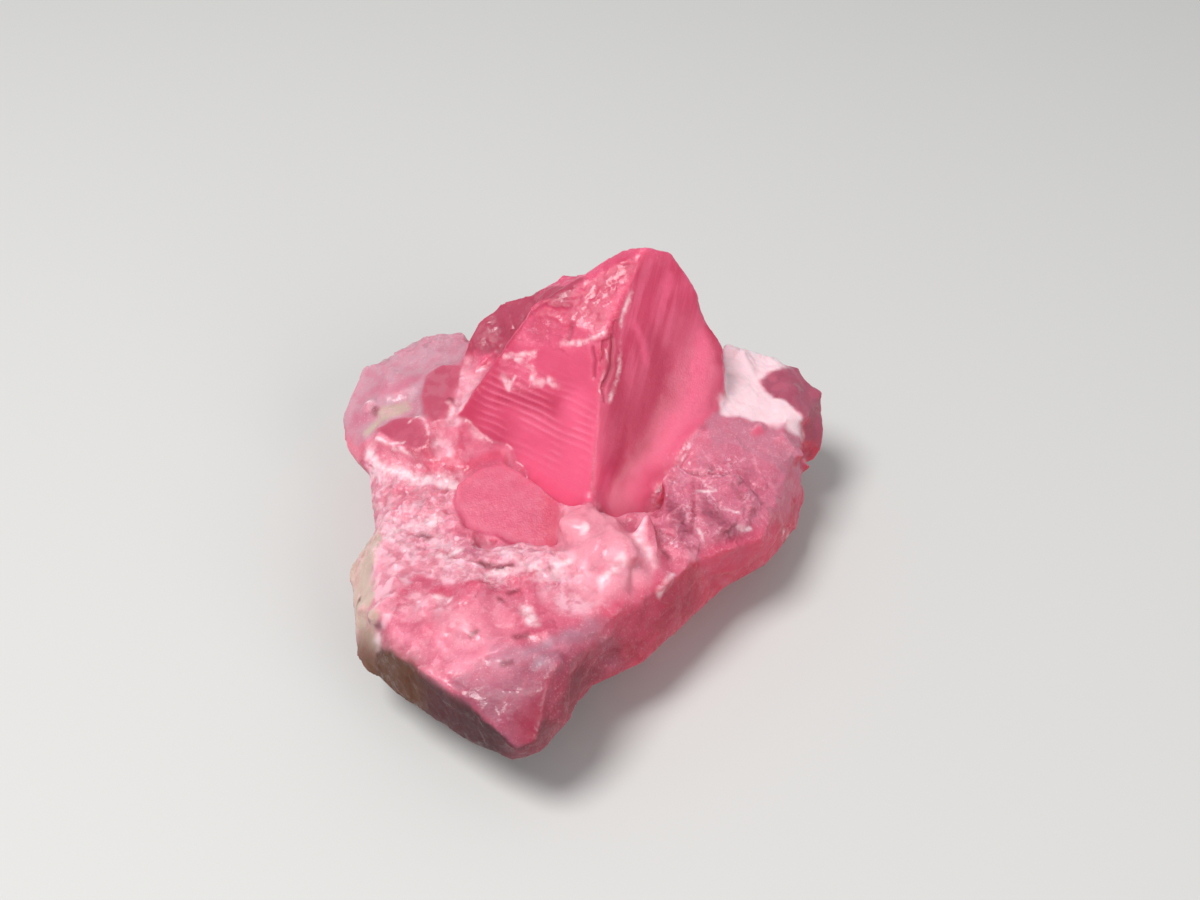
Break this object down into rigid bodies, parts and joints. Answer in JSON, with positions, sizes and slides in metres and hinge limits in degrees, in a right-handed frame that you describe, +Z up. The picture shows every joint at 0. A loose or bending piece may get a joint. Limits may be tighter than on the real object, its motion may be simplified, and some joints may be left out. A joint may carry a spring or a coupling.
{
  "type": "rhodochrosite crystal",
  "caption": "Small display specimen of pink rhodochrosite: one tall flat-faced crystal leaning back on a broken, undercut mass that rests on a flat face.",
  "frame": {"origin": "middle of the specimen's outline, on the plane of the flat broken face that it rests on", "axes": "+Z up, -Y towards the pointed front of the mass, +X to the right seen from the front; the tall crystal leans towards +Y"},
  "size_m": [0.0184, 0.0188, 0.0108],
  "materials": {
    "rhodochrosite": "translucent and glassy on the flat faces, pale and granular where it is broken"
  },
  "bodies": {
    "root": {"rhodochrosite_crystal": "rhodochrosite"}
  },
  "joints": []
}
